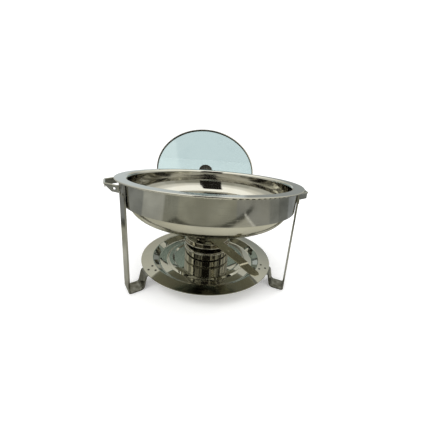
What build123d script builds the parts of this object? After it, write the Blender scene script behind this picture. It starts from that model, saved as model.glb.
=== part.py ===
from build123d import *
import os
from math import asin, cos, degrees, hypot, radians, sin, sqrt

# Round chafer: a three-legged stand that carries a water pan with a food pan in it,
# a burner on the base plate below, and a glass lid that stands in a rack behind the pans.
# Millimetres, Z up. Everything is built about the pans' own vertical axis, and is moved
# at the end so that the origin lies on the table under the middle of the whole outline.

# Driving dimensions: pans
PAN_AXIS_Y = -120.45       # the pans' axis, from the origin
RIM_RADIUS = 185.0         # outside of the food pan's rolled edge
RIM_HEIGHT = 209.0         # top of the food pan's flange
SHEET = 1.0                # sheet thickness of the pans and the base plate
FOOD_WALL_RADIUS = 163.2
FOOD_FLOOR = 147.5
WATER_WALL_RADIUS = 165.0
WATER_FLOOR = 130.5
WATER_FLANGE = 207.9       # top face of the water pan's flange
EDGE_BEAD = 1.3            # section radius of the food pan's rolled edge

# Driving dimensions: stand
BAND_RADIUS = 175.0        # outside of the support band
BAND_THICKNESS = 1.5
BAND_BOTTOM = 164.6
BAND_TOP = 206.8
PLATE_RADIUS = 147.3
PLATE_TOP = 31.0           # flat outer margin of the base plate
PLATE_FLOOR = 20.0         # sunk middle of the base plate
LEG_WIDTH = 30.0
LEG_THICKNESS = 3.0
LEG_TURNS = {"leg_left": -150.0, "leg_right": -30.0, "leg_rear": 90.0}
LEG_TOP_RADIUS = 178.1     # outer face at the top
LEG_SPLAY = 4.5            # the outer face goes out by this much from top to table
LEG_TOP = 204.0
FOOT_INNER_RADIUS = 154.3
TAB_INNER_RADIUS = 124.5
LEG_TAB = PLATE_TOP - SHEET - LEG_THICKNESS
HANDLE_THICKNESS = 1.6
HANDLE_BEAD = 1.8          # section radius of the rolled top edge
HANDLE_BOTTOM = 183.5
HANDLE_TOP = 197.0
HANDLE_REACH = 214.0
HANDLE_CORNER = (195.0, 49.0)
HANDLE_TAB_RADIUS = BAND_RADIUS + 1.18
HANDLE_TAB_TURNS = (17.0, 24.0)

# Driving dimensions: burner
CAN_RADIUS = 52.2
CAN_HEIGHT = 46.6
COVER_TOP = 76.0
COVER_RADIUS = 49.4
COLLAR_BOTTOM = PLATE_FLOOR + CAN_HEIGHT + 1.8
PORT_INNER = 10.0          # the two flame ports are sectors between these radii
PORT_OUTER = 27.0
PORT_SPAN = 42.0
RUNNING_GAP = 0.3          # between parts that move past each other
DAMPER_RADIUS = 34.0
DAMPER_BOTTOM = COVER_TOP + RUNNING_GAP
DAMPER_TOP = DAMPER_BOTTOM + 1.0
LEVER_TURN = -67.0         # direction in which the damper lever points
LEVER_REACH = 171.0
LEVER_THICKNESS = 1.5
LEVER_RIVET_RADII = (20.0, 28.0)

# Driving dimensions: lid, in its own frame with the rim in the XY plane and the knob on +Z
LID_RADIUS = 175.0
LID_LEAN = 38.7            # angle of the standing lid's rim plane from the vertical
LID_TURN = -2.6            # the rack's middle plane is turned this much from the rear leg
LID_CENTRE_Y = 312.0
LID_CENTRE_Z = 208.1
GLASS_RADIUS = 173.2
GLASS_THICKNESS = 4.0
GLASS_RISE = 22.0
LID_HOLE = 4.1             # radius of the hole for the knob's screw
KNOB_BASE = GLASS_RISE + GLASS_THICKNESS
GASKET = 1.0
WASHER_RADIUS = 24.5

# Driving dimensions: lid rack
ROD = 3.0                  # radius of the rack's round rod
RACK_HALF_SPAN = 56.0
RACK_ARM_Y = sqrt((BAND_RADIUS + ROD + 0.05) ** 2 - RACK_HALF_SPAN**2)
RACK_ARM_TOP = 202.0
RACK_SEAT = -(sqrt(LID_RADIUS**2 - RACK_HALF_SPAN**2) + ROD + 0.5)
FINGER_UP = -62.0          # the fingers end here, along and behind the lid's rim plane
FINGER_BACK = 26.5
CLIP_HEIGHT = 186.0
CLIP_TALL = 14.0
CLIP_SHEET = 1.2


def ring(outer, inner, bottom, top):
    """Plain ring about the Z axis."""
    height = top - bottom
    blank = Cylinder(outer, height) - Cylinder(inner, height + 2)
    return Pos(0, 0, (bottom + top) / 2) * blank


def disc(radius, bottom, top, at=(0, 0)):
    """Plain upright disc."""
    return Pos(at[0], at[1], (bottom + top) / 2) * Cylinder(radius, top - bottom)


def polar(radius, angle):
    """Plan position at a radius and an angle in degrees."""
    return radius * cos(radians(angle)), radius * sin(radians(angle))


def strip_profile(points, bends, thickness, side):
    """Closed section of bent sheet: a line of points, rounded at its corners and thickened."""
    line = FilletPolyline(*points, radius=bends)
    return make_face(offset(line, amount=thickness, side=side).edges())


def spun_sheet(points, bends, thickness=SHEET, side=Side.RIGHT):
    """Sheet shell of revolution from (radius, height) points that start on the axis."""
    return revolve(Plane.XZ * strip_profile(points, bends, thickness, side), Axis.Z)


def bent_strip(points, bends, thickness, width):
    """Flat strip bent to (radius, height) points in the XZ plane, centred on that plane."""
    section = Plane.XZ * strip_profile(points, bends, thickness, Side.RIGHT)
    return extrude(section, amount=width / 2, both=True)


def rod(points, bends, radius=ROD):
    """Round rod along rounded points."""
    path = FilletPolyline(*points, radius=bends)
    start = Plane(path @ 0, z_dir=path % 0)
    return sweep(start * Circle(radius), path=path)


def rivet(bottom, top, shank, head, head_height, tail_height):
    """Upright rivet: a shank between two faces, a rounded head above and a tail below."""
    body = disc(shank, bottom - tail_height, top + head_height)
    cap = disc(head, top, top + head_height)
    crown = cap.edges().group_by(Axis.Z)[-1]
    body += fillet(crown, head_height * 0.7)
    if tail_height > 0:
        body += disc(head, bottom - tail_height, bottom)
    return body


def outward(piece, turn, radius, height):
    """Lay an upright piece on its side so that +Z points away from the axis at a turn."""
    return Rot(0, 0, turn) * Pos(radius, 0, height) * Rot(0, 90, 0) * piece


# ---------------------------------------------------------------- pans

def food_pan():
    shell = spun_sheet(
        [(0, FOOD_FLOOR), (FOOD_WALL_RADIUS, FOOD_FLOOR),
         (FOOD_WALL_RADIUS, RIM_HEIGHT), (RIM_RADIUS - EDGE_BEAD, RIM_HEIGHT)],
        [36, 6],
    )
    bead = Torus(RIM_RADIUS - EDGE_BEAD, EDGE_BEAD)
    return shell + Pos(0, 0, RIM_HEIGHT - EDGE_BEAD) * bead


def water_pan():
    edge = RIM_RADIUS - 2 * EDGE_BEAD - 1.6
    shell = spun_sheet(
        [(0, WATER_FLOOR), (WATER_WALL_RADIUS, WATER_FLOOR),
         (WATER_WALL_RADIUS, WATER_FLANGE), (edge, WATER_FLANGE), (edge, WATER_FLANGE - 2.1)],
        [39, 4, 1.4],
    )
    bead = Torus(edge + 0.5, 0.75)
    return shell + Pos(0, 0, WATER_FLANGE - 1.95) * bead


# ---------------------------------------------------------------- stand

def leg_strip():
    """One leg before its holes: down from the band, along the table, up to the plate."""
    return bent_strip(
        [(LEG_TOP_RADIUS, LEG_TOP), (LEG_TOP_RADIUS + LEG_SPLAY, 0), (FOOT_INNER_RADIUS, 0),
         (FOOT_INNER_RADIUS - 6.7, LEG_TAB), (TAB_INNER_RADIUS, LEG_TAB)],
        [5, 9, 4], LEG_THICKNESS, LEG_WIDTH,
    )


def leg_plate_rivets():
    """Three rivets through each leg's tab and the margin of the plate."""
    places = [(140, 0), (129, 9), (129, -9)]
    rivets = Part()
    for turn in LEG_TURNS.values():
        for place in places:
            one = rivet(LEG_TAB, PLATE_TOP, 1.6, 2.3, 0.5, 0.8)
            rivets += Rot(0, 0, turn) * Pos(place[0], place[1], 0) * one
    return rivets


def leg_band_rivets():
    """Two rivets side by side through each leg and the band."""
    height = 186.0
    inside = BAND_RADIUS - BAND_THICKNESS
    outside = LEG_TOP_RADIUS + LEG_SPLAY * (LEG_TOP - height) / LEG_TOP
    rivets = Part()
    for turn in LEG_TURNS.values():
        for side in (-8, 8):
            one = rivet(0, outside - inside, 2.4, 3.8, 1.0, 1.2)
            rivets += Rot(0, 0, turn) * Pos(0, side, 0) * outward(one, 0, inside, height)
    return rivets


def support_band():
    blank = ring(BAND_RADIUS, BAND_RADIUS - BAND_THICKNESS, BAND_BOTTOM, BAND_TOP)
    return fillet(blank.edges().group_by(Axis.Z)[0], 0.5)


def base_plate():
    """Dished plate: flat margin, sloping wall, and a low ring round the burner's place."""
    ring_top = PLATE_FLOOR + 3
    return spun_sheet(
        [(0, PLATE_FLOOR), (75.5, PLATE_FLOOR), (79.5, ring_top), (88, ring_top),
         (92.5, PLATE_FLOOR), (109.5, PLATE_FLOOR), (122, PLATE_TOP), (PLATE_RADIUS, PLATE_TOP)],
        [2, 2, 2, 2, 5, 3],
    )


def handle():
    """Side handle on +X: a strip bent to a shallow V, with tabs on the band and a rolled top.

    Its rear arm has a slot, and its lower edge is notched at the rear corner.
    """
    tab, root = [polar(HANDLE_TAB_RADIUS, turn) for turn in HANDLE_TAB_TURNS]
    corner = HANDLE_CORNER
    plan = FilletPolyline(
        (tab[0], -tab[1]), (root[0], -root[1]), (corner[0], -corner[1]), (HANDLE_REACH, 0),
        corner, root, tab, radius=[2, 8, 12, 8, 2],
    )
    outline = offset(plan, amount=HANDLE_THICKNESS / 2, side=Side.BOTH).edges()
    bead_height = HANDLE_TOP - HANDLE_BEAD
    height = bead_height - HANDLE_BOTTOM
    strip = extrude(Pos(0, 0, HANDLE_BOTTOM) * make_face(outline), amount=height)
    low, high = HANDLE_BOTTOM - 5, bead_height - 1.6
    notch = FilletPolyline(
        (corner[1] + 12, low), (corner[1] + 11, low + 5), (corner[1] + 1, high),
        (corner[1] - 8, high), (corner[1] - 26, low + 5), (corner[1] - 27, low),
        radius=[3, 3, 8, 8],
    )
    closing = Line(notch @ 1, notch @ 0)
    strip -= Pos(150, 0, 0) * extrude(Plane.YZ * make_face([*notch.edges(), closing.edge()]), 80)
    run = (corner[0] - root[0], corner[1] - root[1])
    lean = degrees(asin(run[1] / hypot(*run)))
    middle = Pos(root[0] + 0.38 * run[0], root[1] + 0.38 * run[1], HANDLE_BOTTOM + 6.4)
    strip -= middle * Rot(0, 0, lean) * extrude(Plane.XZ * SlotOverall(7.5, 3.6), 6, both=True)
    first = (root[0] + 0.12 * run[0], root[1] + 0.12 * run[1])
    bead_path = [
        (first[0], -first[1], bead_height), (corner[0], -corner[1], bead_height),
        (HANDLE_REACH, 0, bead_height), (*corner, bead_height), (*first, bead_height),
    ]
    return strip + rod(bead_path, [8, 12, 8], HANDLE_BEAD)


def handle_rivets():
    """Two rivets through each handle tab and the band."""
    inside = BAND_RADIUS - BAND_THICKNESS
    outside = BAND_RADIUS + HANDLE_THICKNESS + 0.06
    rivets = Part()
    for turn in (0, 180):
        for angle in (-19.2, 19.2):
            for height in (186.6, 192.2):
                one = rivet(0, outside - inside, 1.5, 2.4, 0.8, 1.0)
                rivets += outward(one, turn + angle, inside, height)
    return rivets


# ---------------------------------------------------------------- lid rack

def lid_place():
    """From the lid's own frame to where it stands: dome to the back, leaning back."""
    stand = Pos(0, LID_CENTRE_Y, LID_CENTRE_Z) * Rot(-(90 + LID_LEAN), 0, 0)
    return Rot(0, 0, LID_TURN) * stand


def beside_lid(up, back):
    """(y, z) in the rack's middle plane, given as along and square to the lid's rim plane."""
    lean = radians(LID_LEAN)
    y = LID_CENTRE_Y + up * sin(lean) + back * cos(lean)
    z = LID_CENTRE_Z + up * cos(lean) - back * sin(lean)
    return y, z


def rack_arm_points():
    """The arm's centre line in a plane of constant x: band, seat under the rim, finger."""
    lean = radians(LID_LEAN)
    seat_start = beside_lid(RACK_SEAT, 0)
    drop = (seat_start[0] - RACK_ARM_Y) / cos(lean)
    low_front = beside_lid(RACK_SEAT, -drop)
    seat_end = beside_lid(RACK_SEAT, 15)
    return [(RACK_ARM_Y, RACK_ARM_TOP), low_front, seat_end, beside_lid(FINGER_UP, FINGER_BACK)]


def lid_rack_arms():
    arms = Part()
    for side in (-RACK_HALF_SPAN, RACK_HALF_SPAN):
        arms += rod([(side, y, z) for y, z in rack_arm_points()], [16, 8])
    return Rot(0, 0, LID_TURN) * arms


def lid_rack_crossbar():
    """Bar in front of the rim, welded across both seats: the lid cannot slide forward."""
    y, z = beside_lid(RACK_SEAT + 2 * ROD + 0.05, -2 * ROD + 0.9)
    bar = Rot(0, 90, 0) * Cylinder(ROD, 2 * RACK_HALF_SPAN + 18)
    bar = fillet(bar.edges(), 1.0)
    return Rot(0, 0, LID_TURN) * Pos(0, y, z) * bar


def lid_rack_tips():
    """Rubber caps on the ends of the fingers, behind the glass."""
    end = beside_lid(FINGER_UP, FINGER_BACK)
    before = rack_arm_points()[2]
    length = hypot(end[0] - before[0], end[1] - before[1])
    slope = degrees(asin((end[1] - before[1]) / length))
    cap = disc(4.6, -16, 4) - disc(ROD, -17, 0)
    cap = fillet(cap.edges().group_by(Axis.Z)[-1], 2.5)
    tips = Part()
    for side in (-RACK_HALF_SPAN, RACK_HALF_SPAN):
        tips += Pos(side, *end) * Rot(slope - 90, 0, 0) * cap
    return Rot(0, 0, LID_TURN) * tips


def clip_turns():
    """Turn of each rack arm about the pans' axis."""
    spread = degrees(asin(RACK_HALF_SPAN / (BAND_RADIUS + ROD + 0.05)))
    return [90 + LID_TURN - spread, 90 + LID_TURN + spread]


def rack_clips():
    """Saddle clips that hold the arms against the band."""
    bottom, top = CLIP_HEIGHT - CLIP_TALL / 2, CLIP_HEIGHT + CLIP_TALL / 2
    inside = BAND_RADIUS + 0.05
    centre = inside + ROD
    ears = ring(inside + CLIP_SHEET, inside, bottom, top)
    ears &= Pos(BAND_RADIUS, 0, CLIP_HEIGHT) * Box(20, 27, CLIP_TALL)
    throat = Pos(centre - ROD, 0, CLIP_HEIGHT) * Box(2 * ROD, 2 * ROD - 0.2, CLIP_TALL + 2)
    clip = ears + disc(ROD + CLIP_SHEET, bottom, top, (centre, 0))
    clip -= disc(inside, bottom - 1, top + 1)
    clip -= disc(ROD, bottom - 1, top + 1, (centre, 0)) + throat
    clips = Part()
    for turn in clip_turns():
        clips += Rot(0, 0, turn) * clip
    return clips


def rack_clip_rivets():
    inside = BAND_RADIUS - BAND_THICKNESS
    outside = BAND_RADIUS + CLIP_SHEET + 0.05
    rivets = Part()
    for turn in clip_turns():
        for side in (-2.9, 2.9):
            one = rivet(0, outside - inside, 1.5, 2.5, 0.8, 1.0)
            rivets += outward(one, turn + side, inside, CLIP_HEIGHT)
    return rivets


# ---------------------------------------------------------------- burner

def burner_can():
    """Open can with a stiffening bead, a narrower neck and a rolled mouth."""
    rim = PLATE_FLOOR + CAN_HEIGHT
    bead = PLATE_FLOOR + 32.5
    neck = CAN_RADIUS - 1.4
    shell = spun_sheet(
        [(0, PLATE_FLOOR), (CAN_RADIUS, PLATE_FLOOR), (CAN_RADIUS, bead - 1.8),
         (neck, bead + 1.8), (neck, rim)],
        [4, 1.5, 1.5], 0.9, Side.LEFT,
    )
    shell += Pos(0, 0, rim) * Torus(neck + 0.4, 1.6)
    return shell + Pos(0, 0, bead) * Torus(CAN_RADIUS - 0.5, 1.5)


def port(bottom, top, turn):
    """Cutter for one flame port: a sector with its middle at a turn."""
    blank = ring(PORT_OUTER, PORT_INNER, bottom, top)
    half = PORT_SPAN / 2
    reach = 2 * PORT_OUTER
    wedge = Polyline((0, 0), polar(reach, -half), (reach, 0), polar(reach, half), (0, 0))
    sector = extrude(Pos(0, 0, bottom) * make_face(wedge.edges()), amount=top - bottom)
    return Rot(0, 0, turn) * (blank & sector)


def with_ports(plate, bottom, top):
    """Cut two opposite ports, square to the lever."""
    for turn in (LEVER_TURN - 90, LEVER_TURN + 90):
        plate -= port(bottom - 1, top + 1, turn)
    return plate


def burner_cover():
    """Cap whose skirt drops into the can's mouth and whose collar rests on the rolled edge."""
    cap = spun_sheet(
        [(0, COVER_TOP), (COVER_RADIUS, COVER_TOP), (COVER_RADIUS, COVER_TOP - 12)],
        [1.6],
    )
    collar = ring(CAN_RADIUS + 0.3, COVER_RADIUS - 0.5, COLLAR_BOTTOM, COLLAR_BOTTOM + 1.2)
    cap = with_ports(cap + collar, COVER_TOP - SHEET, COVER_TOP)
    return cap - disc(3.0, COVER_TOP - 3, COVER_TOP + 3)


def damper_pivot():
    """Rivet in the cover's centre that the damper turns on."""
    pin = disc(3.0, COVER_TOP - SHEET - 1.4, DAMPER_TOP + RUNNING_GAP + 1.2)
    pin += disc(5.0, COVER_TOP - SHEET - 1.4, COVER_TOP - SHEET)
    head = disc(5.5, DAMPER_TOP + RUNNING_GAP, DAMPER_TOP + RUNNING_GAP + 1.2)
    return pin + fillet(head.edges().group_by(Axis.Z)[-1], 0.8)


def damper_disc():
    plate = disc(DAMPER_RADIUS, DAMPER_BOTTOM, DAMPER_TOP)
    plate = with_ports(plate, DAMPER_BOTTOM, DAMPER_TOP)
    plate -= disc(3.05, DAMPER_BOTTOM - 1, DAMPER_TOP + 1)
    return plate


def damper_lever():
    """Tapered strip on the damper disc with a step down near its end and a hanging hole."""
    top = DAMPER_TOP + LEVER_THICKNESS
    strip = bent_strip(
        [(13, top), (135, top), (138.5, top - 2.6), (LEVER_REACH, top - 2.6)],
        [2, 3], LEVER_THICKNESS, 30,
    )
    half = [(13, 9), (30, 10.5), (95, 10.5), (LEVER_REACH - 6, 8), (LEVER_REACH, 4.5)]
    mirrored = [(x, -y) for x, y in reversed(half)]
    bends = [3, 20, 60, 4, 3]
    outline = FilletPolyline(*half, *mirrored, radius=bends + bends[::-1], close=True)
    blank = extrude(Pos(0, 0, top - 10) * make_face(outline.edges()), amount=20)
    lever = (strip & blank) - disc(1.8, top - 10, top + 10, (89, 0))
    return Rot(0, 0, LEVER_TURN) * lever


def lever_rivets():
    rivets = Part()
    for radius in LEVER_RIVET_RADII:
        one = rivet(DAMPER_BOTTOM, DAMPER_TOP + LEVER_THICKNESS, 1.6, 2.8, 0.8, 0)
        rivets += Rot(0, 0, LEVER_TURN) * Pos(radius, 0, 0) * one
    return rivets


# ---------------------------------------------------------------- lid, in its own frame

def dome_height(radius, lift=0.0):
    """Height of the glass dome's inner face, or of a face a lift above it."""
    drop = GLASS_RISE - 0.6
    sphere = (GLASS_RADIUS**2 + drop**2) / (2 * drop)
    return GLASS_RISE - sphere + sqrt(sphere**2 - radius**2) + lift


def lid_glass():
    inner = ThreePointArc((LID_HOLE, dome_height(LID_HOLE)), (90, dome_height(90)),
                          (GLASS_RADIUS, dome_height(GLASS_RADIUS)))
    outer = ThreePointArc((GLASS_RADIUS, dome_height(GLASS_RADIUS, GLASS_THICKNESS)),
                          (90, dome_height(90, GLASS_THICKNESS)),
                          (LID_HOLE, dome_height(LID_HOLE, GLASS_THICKNESS)))
    sides = [Line(inner @ 1, outer @ 0), Line(outer @ 1, inner @ 0)]
    section = make_face([*inner.edges(), *outer.edges(), sides[0].edge(), sides[1].edge()])
    return revolve(Plane.XZ * section, Axis.Z)


def lid_rim():
    """Channel of thin steel folded round the glass edge, its back lip sloped like the dome."""
    wall = ring(LID_RADIUS, GLASS_RADIUS + 0.3, -1.0, 6.6)
    front = ring(GLASS_RADIUS + 1, 171.3, -1.0, 0.0)
    back = ring(GLASS_RADIUS + 1, 171.5, 5.8, 6.6)
    rim = wall + front + back
    rim = fillet(rim.edges().filter_by_position(Axis.Z, -1.01, -0.99), 0.4)
    return fillet(rim.edges().filter_by_position(Axis.Z, 6.59, 6.61).sort_by(SortBy.RADIUS)[-1], 1.2)


def lid_knob():
    """Turned knob on a waisted neck, bored from below for the screw."""
    low = KNOB_BASE + GASKET
    neck = ThreePointArc((12, low), (9.4, low + 5), (10.5, low + 10))
    side = ThreePointArc((10.5, low + 10), (19.8, low + 18.5), (15.5, low + 26.5))
    top = ThreePointArc((15.5, low + 26.5), (11, low + 28.6), (6, low + 29.3))
    bore = Polyline((6, low + 29.3), (0, low + 29.3), (0, low + 14), (4.1, low + 14), (4.1, low),
                    (12, low))
    section = make_face([neck.edge(), side.edge(), top.edge(), *bore.edges()])
    return revolve(Plane.XZ * section, Axis.Z)


def knob_gaskets():
    """Silicone washers on both faces of the glass round the screw hole."""
    above = ring(13, 4.3, KNOB_BASE, KNOB_BASE + GASKET)
    under_glass = dome_height(WASHER_RADIUS)
    below = ring(WASHER_RADIUS - 2, 4.3, under_glass - GASKET, under_glass)
    return above + below


def knob_washer():
    """Dished steel washer inside the lid, under the screw's head."""
    top = dome_height(WASHER_RADIUS) - GASKET
    plate = ring(WASHER_RADIUS, 4.3, top - 1.5, top)
    return fillet(plate.edges().group_by(Axis.Z)[0].sort_by(SortBy.RADIUS)[-1], 1.2)


def knob_screw():
    """Screw from inside the lid up into the knob."""
    seat = dome_height(WASHER_RADIUS) - GASKET - 1.5
    shank = disc(4.0, seat - 2.6, KNOB_BASE + GASKET + 13)
    head = disc(7.5, seat - 2.6, seat)
    head = fillet(head.edges().group_by(Axis.Z)[0], 1.8)
    slot = Pos(0, 0, seat - 2.6) * Box(11, 1.4, 2.0)
    return shank + head - slot


# ---------------------------------------------------------------- assembly

def stand_parts():
    plate_rivets = leg_plate_rivets()
    band_rivets = leg_band_rivets()
    grip_rivets = handle_rivets()
    clip_rivets = rack_clip_rivets()
    parts = {
        "support_band": support_band() - band_rivets - grip_rivets - clip_rivets,
        "base_plate": base_plate() - plate_rivets,
        "leg_plate_rivets": plate_rivets,
        "leg_band_rivets": band_rivets,
        "handle_rivets": grip_rivets,
        "rack_clip_rivets": clip_rivets,
        "lid_rack_arms": lid_rack_arms(),
        "lid_rack_crossbar": lid_rack_crossbar(),
        "lid_rack_tips": lid_rack_tips(),
        "lid_rack_clips": rack_clips() - clip_rivets,
    }
    for name, turn in LEG_TURNS.items():
        parts[name] = Rot(0, 0, turn) * leg_strip() - plate_rivets - band_rivets
    grip = handle()
    parts["handle_right"] = grip - grip_rivets
    parts["handle_left"] = Rot(0, 0, 180) * grip - grip_rivets
    return parts


def burner_parts():
    rivets = lever_rivets()
    return {
        "burner_can": burner_can(),
        "burner_cover": burner_cover(),
        "damper_pivot": damper_pivot(),
        "damper_disc": damper_disc() - rivets,
        "damper_lever": damper_lever() - rivets,
        "lever_rivets": rivets,
    }


def lid_parts():
    shapes = {
        "lid_glass": lid_glass(),
        "lid_rim": lid_rim(),
        "lid_knob": lid_knob(),
        "knob_gaskets": knob_gaskets(),
        "knob_washer": knob_washer(),
        "knob_screw": knob_screw(),
    }
    return {name: lid_place() * shape for name, shape in shapes.items()}


def main():
    os.makedirs("parts", exist_ok=True)
    parts = {"food_pan": food_pan(), "water_pan": water_pan()}
    parts |= stand_parts() | burner_parts() | lid_parts()
    for name, shape in parts.items():
        export_step(Pos(0, PAN_AXIS_Y, 0) * shape, f"parts/{name}.step")


main()
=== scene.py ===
import math

import bpy
from mathutils import Matrix, Vector


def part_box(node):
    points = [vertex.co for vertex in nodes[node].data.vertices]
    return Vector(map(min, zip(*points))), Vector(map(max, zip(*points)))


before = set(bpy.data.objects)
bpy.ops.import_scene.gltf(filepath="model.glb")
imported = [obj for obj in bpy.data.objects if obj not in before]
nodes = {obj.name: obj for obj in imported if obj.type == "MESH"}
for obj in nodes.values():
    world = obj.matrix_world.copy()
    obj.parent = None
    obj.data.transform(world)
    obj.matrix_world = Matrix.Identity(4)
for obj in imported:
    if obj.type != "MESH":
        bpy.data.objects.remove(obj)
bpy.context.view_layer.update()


def centre_of(node):
    low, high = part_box(node)
    return (low + high) / 2


PAN = centre_of("food_pan")
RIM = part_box("food_pan")[1].z
# Height above the floor below which the legs are darker, in patches.
FOOT_DARKER_HEIGHT = 0.036
EDGE_ANGLE = math.radians(32.0)


# ---------------------------------------------------------------- node trees

class Tree:
    """A node tree that is written as expressions."""

    def __init__(self, owner):
        owner.use_nodes = True
        self.tree = owner.node_tree

    def add(self, kind, inputs=None, **settings):
        node = self.tree.nodes.new("ShaderNode" + kind)
        for key, value in settings.items():
            setattr(node, key, value)
        for key, value in (inputs or {}).items():
            self.feed(node.inputs[key], value)
        return node

    def feed(self, socket, value):
        if isinstance(value, bpy.types.NodeSocket):
            self.tree.links.new(value, socket)
        else:
            socket.default_value = value

    def math(self, operation, a, b=0.0, c=0.0, clamp=False):
        node = self.add("Math", {0: a, 1: b, 2: c}, operation=operation, use_clamp=clamp)
        return node.outputs[0]

    def multiply(self, vector, scale):
        return self.add("VectorMath", {0: vector, 1: scale}, operation="MULTIPLY").outputs[0]

    def split(self, vector):
        return self.add("SeparateXYZ", {0: vector}).outputs

    def join(self, x, y, z):
        return self.add("CombineXYZ", {0: x, 1: y, 2: z}).outputs[0]

    def remap(self, value, low, high, to_low=0.0, to_high=1.0):
        inputs = {0: value, 1: low, 2: high, 3: to_low, 4: to_high}
        return self.add("MapRange", inputs, interpolation_type="SMOOTHSTEP").outputs[0]

    def mix(self, factor, a, b, blend="MIX"):
        node = self.add("Mix", data_type="RGBA", blend_type=blend)
        self.feed(node.inputs[0], factor)
        self.feed(node.inputs[6], rgba(a))
        self.feed(node.inputs[7], rgba(b))
        return node.outputs[2]

    def noise(self, vector, scale=1.0, detail=2.0, roughness=0.5, w=None):
        inputs = {"Vector": vector, "Scale": scale, "Detail": detail, "Roughness": roughness}
        dimensions = "3D"
        if w is not None:
            inputs["W"] = w
            dimensions = "4D"
        return self.add("TexNoise", inputs, noise_dimensions=dimensions).outputs[0]

    def bump(self, height, distance, strength, normal=None):
        inputs = {"Height": height, "Distance": distance, "Strength": strength}
        if normal is not None:
            inputs["Normal"] = normal
        return self.add("Bump", inputs).outputs[0]


def rgba(value):
    if isinstance(value, bpy.types.NodeSocket):
        return value
    return (*value, 1.0) if len(value) == 3 else value


# ---------------------------------------------------------------- materials

class Surface(Tree):
    """A Principled material, with the texture space that its marks are laid out in."""

    def __init__(self, name):
        self.material = bpy.data.materials.new(name)
        super().__init__(self.material)
        self.shader = self.tree.nodes["Principled BSDF"]

    def place(self, centre=(0, 0, 0), turn=(0, 0, 0)):
        """Row-frame position of the surface, seen from a centre and turned."""
        coordinates = self.add("TexCoord").outputs["Object"]
        inputs = {"Vector": coordinates, "Location": centre, "Rotation": turn}
        return self.add("Mapping", inputs, vector_type="TEXTURE").outputs[0]

    def finish(self, colour, roughness, normal, metallic=1.0, **extras):
        self.feed(self.shader.inputs["Base Color"], rgba(colour))
        self.feed(self.shader.inputs["Roughness"], roughness)
        self.feed(self.shader.inputs["Normal"], normal)
        self.shader.inputs["Metallic"].default_value = metallic
        for name, value in extras.items():
            self.shader.inputs[name.replace("_", " ")].default_value = value
        return self.material


GRAIN_ACROSS = 2600.0
SPUN_ALONG = 3.0


def spun_grain(s, place):
    """Fine concentric lines round an upright axis, on flat and on standing faces alike."""
    x, y, z = s.split(place)
    radius = s.math("SQRT", s.math("ADD", s.math("MULTIPLY", x, x), s.math("MULTIPLY", y, y)))
    radius = s.math("MAXIMUM", radius, 0.0005)
    around = s.join(
        s.math("MULTIPLY", s.math("DIVIDE", x, radius), SPUN_ALONG),
        s.math("MULTIPLY", s.math("DIVIDE", y, radius), SPUN_ALONG),
        s.math("MULTIPLY", radius, GRAIN_ACROSS),
    )
    return s.noise(around, detail=3, roughness=0.65, w=s.math("MULTIPLY", z, GRAIN_ACROSS))


def line_grain(s, place, scale):
    """Fine straight lines; the scale is high across them and low along them."""
    return s.noise(s.multiply(place, scale), detail=3, roughness=0.65)


def scratches(s, place, scales):
    """Sparse hairlines, as the tops of stretched noises that run in several directions."""
    bare, full = 0.66, 0.71
    lines = 0.0
    for number, scale in enumerate(scales):
        turned = s.add("Mapping", {"Vector": place, "Location": (3.1 * number, 0.7, 0.2),
                                   "Rotation": (0.3 * number, 0.5 * number, 1.1 * number),
                                   "Scale": scale}).outputs[0]
        noise = s.noise(turned, detail=1.5, roughness=0.5)
        lines = s.math("MAXIMUM", lines, s.remap(noise, bare, full))
    return lines


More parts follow.
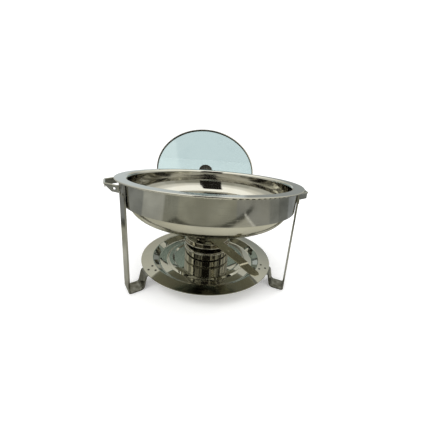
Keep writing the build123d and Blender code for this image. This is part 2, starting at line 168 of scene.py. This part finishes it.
def steel(name, colour, roughness, grain="spun", centre=PAN, turn=(0, 0, 0),
          grain_scale=(GRAIN_ACROSS, 26.0, 26.0), grain_depth=0.35, stain=(0.62, 0.56, 0.42),
          stain_amount=0.25, marks=0.5, wave=1.0, darker_below=None):
    """Stainless steel: grain, hairline scratches, water spots, smears and a slight stain.

    The grain scale is only for straight grain. Below the height darker_below the steel is
    darker, in patches.
    """
    s = Surface(name)
    place = s.place(centre, turn)
    lines = spun_grain(s, place) if grain == "spun" else line_grain(s, place, grain_scale)
    grain_tops = s.remap(lines, 0.3, 0.7)
    hair = scratches(s, place, [(1500, 22, 22), (20, 1300, 22), (24, 30, 1500)])
    cloud = s.noise(place, scale=16.0, detail=4, roughness=0.6)
    smear = s.remap(s.noise(place, scale=34.0, detail=5, roughness=0.72), 0.46, 0.68)
    cells = s.add("TexVoronoi", {"Vector": place, "Scale": 190.0, "Randomness": 1.0})
    spot_edge = s.math("MULTIPLY", s.remap(cells.outputs["Distance"], 0.16, 0.19),
                       s.remap(cells.outputs["Distance"], 0.25, 0.20))
    rare = s.remap(s.split(cells.outputs["Color"])[0], 0.86, 0.9)
    spots = s.math("MULTIPLY", spot_edge, rare)
    tint = s.mix(s.math("MULTIPLY", s.remap(cloud, 0.35, 0.75), stain_amount), colour, stain)
    tint = s.mix(s.math("MULTIPLY", grain_tops, 0.22), tint, [0.72 * c for c in colour])
    tint = s.mix(s.math("MULTIPLY", hair, 0.25 * marks), tint, (0.9, 0.9, 0.88))
    tint = s.mix(s.math("MULTIPLY", spots, 0.45 * marks), tint, (0.86, 0.86, 0.84))
    # Darker in patches towards the bottom, below the given height above the floor.
    if darker_below:
        height = s.split(s.add("TexCoord").outputs["Object"])[2]
        patch = s.remap(s.noise(place, scale=55.0, detail=3), 0.38, 0.62, 0.45, 1.0)
        low = s.math("MULTIPLY", s.remap(height, darker_below, darker_below - 0.014), patch)
        tint = s.mix(low, tint, (0.085, 0.083, 0.063))
    rough = s.math("ADD", roughness, s.math("MULTIPLY", grain_tops, 0.06 * grain_depth))
    rough = s.math("ADD", rough, s.math("MULTIPLY", smear, 0.09 * marks))
    rough = s.math("ADD", rough, s.math("MULTIPLY", hair, 0.18 * marks))
    rough = s.math("ADD", rough, s.math("MULTIPLY", spots, 0.2 * marks), clamp=True)
    normal = s.bump(lines, 0.00003 * grain_depth, 0.4)
    normal = s.bump(s.noise(place, scale=9.0, detail=1), 0.0005 * wave, 0.3, normal)
    normal = s.bump(hair, -0.00004 * marks, 0.5, normal)
    return s.finish(tint, rough, normal)


def glass(name):
    """Clear pressed glass with a faint green-blue body, drips and finger smears."""
    s = Surface(name)
    place = s.place(PAN)
    smear = s.remap(s.noise(place, scale=22.0, detail=5, roughness=0.7), 0.5, 0.72)
    drips = s.remap(s.noise(s.multiply(place, (160, 160, 14)), detail=3), 0.62, 0.72)
    dust = s.remap(s.noise(place, scale=900.0, detail=1), 0.74, 0.8)
    haze = s.math("MAXIMUM", s.math("MULTIPLY", smear, 0.5), s.math("MAXIMUM", drips, dust))
    tint = s.mix(haze, (0.495, 0.61, 0.61), (0.455, 0.572, 0.575))
    rough = s.math("ADD", 0.015, s.math("MULTIPLY", haze, 0.10))
    normal = s.bump(s.noise(place, scale=12.0, detail=2), 0.0008, 0.25)
    return s.finish(tint, rough, normal, metallic=0.0, Transmission_Weight=1.0, IOR=1.5)


def plastic(name, colour, roughness, centre, gloss):
    """Moulded plastic or rubber: fine pebbling, worn high spots and dust."""
    s = Surface(name)
    place = s.place(centre)
    pebble = s.noise(place, scale=1500.0, detail=3, roughness=0.6)
    wear = s.remap(s.noise(place, scale=70.0, detail=5, roughness=0.65), 0.5, 0.75)
    dust = s.remap(s.noise(place, scale=2200.0, detail=1), 0.7, 0.78)
    pale = [min(1.0, 1.6 * c + 0.03) for c in colour]
    tint = s.mix(s.math("MULTIPLY", wear, 0.5), colour, pale)
    tint = s.mix(s.math("MULTIPLY", dust, 0.5), tint, (0.35, 0.34, 0.31))
    rough = s.math("ADD", roughness, s.math("MULTIPLY", s.math("SUBTRACT", pebble, 0.5), 0.3))
    normal = s.bump(pebble, 0.00008, 0.6)
    return s.finish(tint, rough, normal, metallic=0.0, Specular_IOR_Level=gloss)


def paint(node, material):
    """Give a CAD node its material in every slot."""
    data = nodes[node].data
    if not data.materials:
        data.materials.append(material)
    for slot in nodes[node].material_slots:
        slot.material = material


def smooth(node):
    """Shade curved faces smoothly and keep the real edges."""
    mesh = nodes[node].data
    mesh.shade_smooth()
    bpy.context.view_layer.objects.active = nodes[node]
    nodes[node].select_set(True)
    bpy.ops.object.shade_smooth_by_angle(angle=EDGE_ANGLE)
    nodes[node].select_set(False)


LEG_TURNS = {}
for leg in ("leg_left", "leg_right", "leg_rear"):
    middle = centre_of(leg) - PAN
    LEG_TURNS[leg] = math.atan2(middle.y, middle.x)

burner_axis = centre_of("burner_can")
tip = max((v.co for v in nodes["damper_lever"].data.vertices), key=lambda c: (c - PAN).xy.length)
lever_turn = math.atan2(tip.y - PAN.y, tip.x - PAN.x)

# The pans, the band and the plate are spun; the strips are drawn, so their grain is straight.
paint("food_pan", steel("food_pan_steel", (0.74, 0.73, 0.69), 0.05, grain_depth=0.4,
                        marks=0.35, wave=0.25))
paint("water_pan", steel("water_pan_steel", (0.66, 0.65, 0.58), 0.10, grain_depth=0.6))
paint("support_band", steel("band_steel", (0.60, 0.60, 0.56), 0.035, grain_depth=0.6,
                            marks=0.45, wave=0.5))
paint("base_plate", steel("plate_steel", (0.53, 0.53, 0.475), 0.02, grain_depth=0.2,
                          marks=0.2, wave=0.15))
for leg, turn in LEG_TURNS.items():
    paint(leg, steel(leg + "_steel", (0.35, 0.355, 0.34), 0.06, "line", PAN, (0, 0, turn),
                     (30.0, GRAIN_ACROSS, 30.0), grain_depth=0.6, darker_below=FOOT_DARKER_HEIGHT))
for side in ("handle_left", "handle_right"):
    paint(side, steel(side + "_steel", (0.56, 0.56, 0.52), 0.09, "line", centre_of(side),
                      grain_scale=(26.0, 26.0, GRAIN_ACROSS), grain_depth=0.7))
paint("burner_can", steel("can_steel", (0.66, 0.65, 0.60), 0.02, centre=burner_axis,
                          grain_depth=0.2, marks=0.12, wave=0.2))
paint("burner_cover", steel("cover_steel", (0.58, 0.56, 0.49), 0.05, centre=burner_axis,
                            grain_depth=0.3, marks=0.2, stain=(0.42, 0.35, 0.25),
                            stain_amount=0.35, wave=0.2))
paint("damper_disc", steel("disc_steel", (0.53, 0.51, 0.45), 0.07, centre=burner_axis,
                           grain_depth=0.3, marks=0.2, stain=(0.40, 0.33, 0.24),
                           stain_amount=0.4, wave=0.2))
paint("damper_lever", steel("lever_steel", (0.60, 0.58, 0.46), 0.16, "line", burner_axis,
                            (0, 0, lever_turn), (26.0, GRAIN_ACROSS, 26.0), grain_depth=0.6,
                            marks=0.35, stain=(0.19, 0.15, 0.10), stain_amount=0.4, wave=0.2))
rivet = steel("rivet_steel", (0.45, 0.45, 0.42), 0.24, "line", PAN, marks=1.0,
              stain=(0.25, 0.20, 0.14), stain_amount=0.6)
paint("leg_plate_rivets", steel("dark_rivet_steel", (0.10, 0.10, 0.085), 0.30, "line", PAN,
                                stain=(0.06, 0.05, 0.04), stain_amount=0.5))
for node in ("leg_band_rivets", "handle_rivets", "rack_clip_rivets",
             "damper_pivot", "lever_rivets"):
    paint(node, rivet)
wire = steel("rack_wire_chrome", (0.70, 0.70, 0.70), 0.08, "line", PAN, marks=0.8)
for node in ("lid_rack_arms", "lid_rack_crossbar", "lid_rack_clips"):
    paint(node, wire)
paint("lid_rim", steel("lid_rim_steel", (0.36, 0.35, 0.31), 0.13, "line", centre_of("lid_rim"),
                       grain_scale=(40.0, 900.0, 900.0)))
washer_steel = steel("washer_steel", (0.20, 0.20, 0.175), 0.20, "line", centre_of("lid_knob"),
                     grain_scale=(40.0, 900.0, 900.0), marks=0.4, stain=(0.13, 0.10, 0.08))
for node in ("knob_washer", "knob_screw"):
    paint(node, washer_steel)
paint("lid_glass", glass("lid_glass"))
paint("lid_rack_tips", plastic("tip_rubber", (0.03, 0.03, 0.03), 0.6, PAN, 0.4))
paint("lid_knob", plastic("knob_plastic", (0.022, 0.021, 0.020), 0.32, centre_of("lid_knob"), 0.5))
paint("knob_gaskets", plastic("gasket_silicone", (0.70, 0.71, 0.69), 0.45, centre_of("lid_knob"),
                              0.5))
for node in nodes:
    smooth(node)


# ---------------------------------------------------------------- studio

FLOOR_REACH = 6.0
FLOOR_CORNERS = 96
FACET_EDGE = 1.2
LENS = 16.164
SENSOR = 36.0
EYE_FROM_PAN = Vector((-0.04635, -0.41326, 0.0))
EYE_ABOVE_RIM = 0.05118
EYE_RIGHT = Vector((0.99008, -0.12298, 0.06794))
EYE_UP = Vector((-0.02633, 0.31257, 0.94954))


def beyond(t, x, y, turn, shift, soft):
    """1 past a straight line across the floor, with a soft edge."""
    along = t.math("ADD", t.math("MULTIPLY", x, math.cos(turn)),
                   t.math("MULTIPLY", y, math.sin(turn)))
    return t.remap(along, shift - soft, shift + soft)


def bar(t, value, middle, half, soft):
    """1 where a value is within a half width of the middle."""
    off = t.math("ABSOLUTE", t.math("SUBTRACT", value, middle))
    return t.remap(t.math("SUBTRACT", off, half), soft, 0.0)


def bearing(t, x, y):
    """Degrees round the object: 0 in front, 90 on the right, and the join behind."""
    return t.math("DEGREES", t.math("ARCTAN2", x, t.math("MULTIPLY", y, -1.0)))


def facets(t, angle, colour, steps, soft):
    """Flat tones round the object, each from its own bearing to the next one's."""
    for start, tone in steps:
        colour = t.mix(t.remap(angle, start - soft, start + soft), colour, tone)
    return colour


def in_mirror(t):
    """1 for what a reflection shows; 0 for plain sight, sight through glass and soft light.

    Where it is 1 the floor and the world show a procedural room, not the plain studio.
    """
    path = t.add("LightPath").outputs
    reflected = t.math("MINIMUM", path["Glossy Depth"], 1.0)
    return t.math("MULTIPLY", reflected, t.math("SUBTRACT", 1.0, path["Is Diffuse Ray"]))


def studio_floor():
    """A wide round floor, plain and pale to the eye, and a darker table and floor in mirrors."""
    mesh = bpy.data.meshes.new("floor")
    angles = [2 * math.pi * i / FLOOR_CORNERS for i in range(FLOOR_CORNERS)]
    edge = [(FLOOR_REACH * math.cos(a), FLOOR_REACH * math.sin(a), 0.0) for a in angles]
    mesh.from_pydata(edge, [], [list(range(FLOOR_CORNERS))])
    floor = bpy.data.objects.new("studio_floor", mesh)
    bpy.context.scene.collection.objects.link(floor)
    floor.location.z = -0.0002
    s = Surface("floor_paper")
    place = s.place(PAN * Vector((1, 1, 0)))
    x, y, z = s.split(place)
    radius = s.math("SQRT", s.math("ADD", s.math("MULTIPLY", x, x), s.math("MULTIPLY", y, y)))
    far = facets(s, bearing(s, x, y), (0.22, 0.225, 0.21), [
        (-82, (0.37, 0.37, 0.33)), (-54, (0.23, 0.23, 0.19)), (-38, (0.27, 0.265, 0.21)),
        (-8, (0.285, 0.28, 0.225)), (22, (0.26, 0.26, 0.235)), (62, (0.20, 0.205, 0.19)),
        (77, (0.145, 0.15, 0.14)), (97, (0.24, 0.25, 0.25)),
    ], 1.5)
    table = s.mix(s.remap(radius, 0.25, 0.5), (0.56, 0.55, 0.47), (0.40, 0.39, 0.32))
    table = s.mix(s.remap(y, 0.02, 0.10), table, (0.31, 0.305, 0.24))
    front = beyond(s, x, y, math.radians(-101.3), 0.569, 0.006)
    left = s.remap(x, -0.41, -0.43)
    right = s.remap(x, 0.37, 0.39)
    outside = s.math("MAXIMUM", front, s.math("MAXIMUM", left, right))
    seen = s.mix(outside, table, far)
    along = s.math("ADD", s.math("MULTIPLY", x, 0.196), s.math("MULTIPLY", y, 0.981))
    inside = s.math("MULTIPLY", s.remap(x, -0.45, -0.42), s.remap(x, 0.66, 0.5))
    hem = s.math("MULTIPLY", bar(s, along, -0.56, 0.018, 0.03), inside)
    side = s.math("MULTIPLY", bar(s, x, -0.42, 0.016, 0.03), s.remap(along, -0.57, -0.55))
    seen = s.mix(s.math("MULTIPLY", s.math("MAXIMUM", hem, side), 0.85), seen, (0.04, 0.04, 0.03))
    seam = s.math("MULTIPLY", bar(s, x, 0.40, 0.010, 0.01), s.remap(along, -0.60, -0.56))
    seen = s.mix(seam, seen, (0.62, 0.61, 0.55))
    cloud = s.remap(s.noise(place, scale=2.4, detail=3), 0.35, 0.65, 0.86, 1.14)
    seen = s.mix(1.0, seen, s.join(cloud, cloud, cloud), "MULTIPLY")
    mirrored = in_mirror(s)
    grain = s.noise(place, scale=60.0, detail=6)
    pale = s.mix(grain, (0.975, 0.975, 0.97), (0.99, 0.99, 0.985))
    s.finish(s.mix(mirrored, pale, seen), 0.8, s.bump(grain, 0.0004, 0.1), metallic=0.0,
             Specular_IOR_Level=0.0)
    s.feed(s.shader.inputs["Emission Color"], (1.0, 1.0, 1.0, 1.0))
    s.feed(s.shader.inputs["Emission Strength"],
           s.math("MULTIPLY", s.math("SUBTRACT", 1.0, mirrored), 0.22))
    mesh.materials.append(s.material)


def striped_room(t, x, y, z):
    """What a second or later reflection shows: panels, soft stripes and thin dark lines."""
    warm_rear = (0.53, 0.53, 0.46)
    room = facets(t, bearing(t, x, y), warm_rear, [
        (-158, (0.50, 0.50, 0.44)), (-118, (0.62, 0.61, 0.50)), (-66, (0.34, 0.33, 0.26)),
        (-45, (0.15, 0.145, 0.11)), (-25, (0.05, 0.047, 0.035)), (2, (0.45, 0.44, 0.35)),
        (13, (0.22, 0.21, 0.16)), (22, (0.09, 0.085, 0.062)), (40, (0.22, 0.215, 0.17)),
        (56, (0.12, 0.115, 0.09)), (72, (0.36, 0.35, 0.30)), (140, (0.31, 0.31, 0.28)),
        (163, warm_rear),
    ], FACET_EDGE)
    flat = t.math("SQRT", t.math("ADD", t.math("MULTIPLY", x, x), t.math("MULTIPLY", y, y)))
    flat = t.math("MAXIMUM", flat, 0.001)
    around = t.join(t.math("DIVIDE", x, flat), t.math("DIVIDE", y, flat),
                    t.math("MULTIPLY", z, 0.2))
    front = t.math("MULTIPLY", t.remap(y, 0.55, 0.25), t.remap(z, 0.66, 0.50))
    stripes = t.remap(t.noise(around, scale=6.5, detail=0.5), 0.47, 0.53, 0.40, 1.70)
    shade = t.math("ADD", 1.0, t.math("MULTIPLY", front, t.math("SUBTRACT", stripes, 1.0)))
    room = t.mix(1.0, room, t.join(shade, shade, shade), "MULTIPLY")
    thin = bar(t, t.noise(around, scale=7.0, detail=1.0, w=4.0), 0.5, 0.012, 0.012)
    thin = t.math("MULTIPLY", thin, front)
    return t.mix(t.math("MULTIPLY", thin, 0.85), room, (0.015, 0.015, 0.01))


def calm_room(t, x, y, z):
    """What a first reflection shows: broad panels that get brighter upwards."""
    rear = t.mix(t.remap(z, 0.20, 0.34), (0.56, 0.61, 0.61), (0.50, 0.49, 0.42))
    room = facets(t, bearing(t, x, y), rear, [
        (-158, (0.50, 0.50, 0.44)), (-80, (0.40, 0.40, 0.34)), (-50, (0.34, 0.34, 0.28)),
        (0, (0.27, 0.27, 0.21)), (40, (0.33, 0.33, 0.27)), (60, (0.39, 0.39, 0.33)),
        (80, (0.49, 0.49, 0.43)), (140, (0.31, 0.33, 0.32)), (163, rear),
    ], FACET_EDGE)
    return t.mix(t.remap(z, 0.36, 0.62), room, (0.80, 0.79, 0.70))


def dark_card(t, x, y, again):
    """A dark patch in front, and for later reflections only its low part and one overhead."""
    across = t.math("ADD", t.math("MULTIPLY", x, 0.985), t.math("MULTIPLY", y, -0.17))
    middle = t.math("MULTIPLY_ADD", y, -0.125, -0.0575)
    half = t.math("MULTIPLY_ADD", y, -0.215, 0.1125)
    front = t.math("MULTIPLY", bar(t, across, middle, half, 0.02), t.remap(y, -0.08, -0.14))
    high = t.math("MULTIPLY", again, t.remap(y, -0.60, -0.52))
    front = t.math("MULTIPLY", front, t.math("SUBTRACT", 1.0, high))
    above = t.math("MULTIPLY", bar(t, across, -0.09, 0.19, 0.03), bar(t, y, 0.14, 0.42, 0.03))
    return t.math("MAXIMUM", front, t.math("MULTIPLY", above, again))


def studio_world():
    """Plain and white to the eye, through the glass and as soft light; a room in mirrors."""
    world = bpy.data.worlds.new("studio")
    bpy.context.scene.world = world
    t = Tree(world)
    x, y, z = t.split(t.add("TexCoord").outputs["Generated"])
    path = t.add("LightPath").outputs
    again = t.math("SUBTRACT", path["Glossy Depth"], 1.0, clamp=True)
    walls = t.mix(again, calm_room(t, x, y, z), striped_room(t, x, y, z))
    ceiling = t.mix(again, (1.20, 1.19, 1.08), (0.62, 0.61, 0.53))
    room = t.mix(t.remap(z, 0.66, 0.82), walls, ceiling)
    room = t.mix(dark_card(t, x, y, again), room, (0.012, 0.011, 0.008))
    plain = t.mix(path["Is Diffuse Ray"], (1.15, 1.15, 1.15), (1.0, 1.0, 1.0))
    background = t.tree.nodes["Background"]
    t.feed(background.inputs["Color"], t.mix(in_mirror(t), plain, room))
    background.inputs["Strength"].default_value = 1.0


def softbox(name, place, target, size, power):
    data = bpy.data.lights.new(name, "AREA")
    data.shape = "RECTANGLE"
    data.size, data.size_y = size
    data.energy = power
    lamp = bpy.data.objects.new(name, data)
    bpy.context.scene.collection.objects.link(lamp)
    lamp.location = place
    lamp.visible_glossy = False
    lamp.rotation_euler = (Vector(target) - Vector(place)).to_track_quat("-Z", "Y").to_euler()


def camera():
    data = bpy.data.cameras.new("camera")
    data.sensor_width = SENSOR
    data.lens = LENS
    data.clip_start = 0.01
    eye = bpy.data.objects.new("camera", data)
    bpy.context.scene.collection.objects.link(eye)
    place = Vector((PAN.x, PAN.y, RIM + EYE_ABOVE_RIM)) + EYE_FROM_PAN
    axes = Matrix((EYE_RIGHT, EYE_UP, EYE_RIGHT.cross(EYE_UP))).transposed()
    eye.matrix_world = Matrix.Translation(place) @ axes.to_4x4()
    bpy.context.scene.camera = eye


studio_floor()
studio_world()
softbox("key_softbox", (-0.9, -0.9, 1.7), (0, 0, 0.1), (1.1, 0.8), 9.0)
softbox("fill_softbox", (1.3, 0.2, 1.2), (0, 0, 0.1), (0.7, 0.9), 4.0)
camera()
bpy.context.scene.view_settings.view_transform = "Standard"
